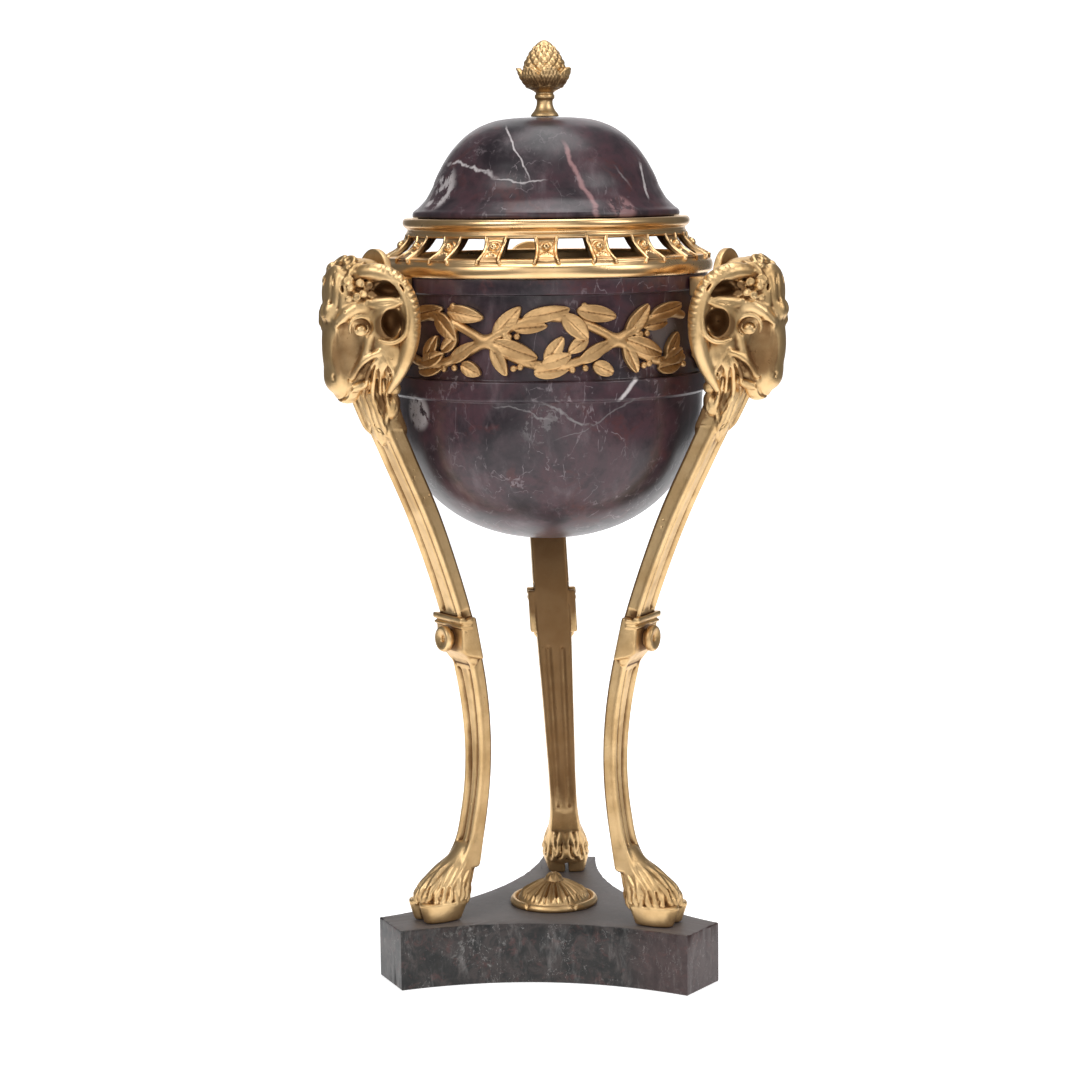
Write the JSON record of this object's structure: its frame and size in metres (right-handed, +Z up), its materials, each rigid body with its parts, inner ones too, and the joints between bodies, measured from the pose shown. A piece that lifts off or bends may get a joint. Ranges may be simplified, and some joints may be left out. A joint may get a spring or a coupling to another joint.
{
  "type": "perfume burner",
  "caption": "Covered marble bowl with a pierced gilt gallery and a laurel frieze, carried by ram's head legs on a three-cornered marble plinth.",
  "frame": {"origin": "centre of the plinth's underside, on the bowl's axis", "axes": "+Z up along the axis of the bowl, lid and finial; -Y is the front, +X the right seen from the front"},
  "size_m": [0.2056, 0.1884, 0.42],
  "materials": {
    "marble": "polished dark aubergine marble with maroon patches and fine pale veins",
    "plinth_marble": "satin dark grey-green and brown breccia marble with white flecks",
    "gilt_bronze": "cast and chased bronze, worn satin gilding that is darker in the hollows"
  },
  "bodies": {
    "root": {"plinth": "plinth_marble", "plinth_rosette": "gilt_bronze", "leg_left": "gilt_bronze", "knee_boss_left": "gilt_bronze", "leg_right": "gilt_bronze", "knee_boss_right": "gilt_bronze", "leg_rear": "gilt_bronze", "knee_boss_rear": "gilt_bronze", "bowl": "marble", "frieze_front": "gilt_bronze", "frieze_right": "gilt_bronze", "frieze_left": "gilt_bronze", "gallery": "gilt_bronze", "lid": "marble", "finial": "gilt_bronze"}
  },
  "joints": []
}
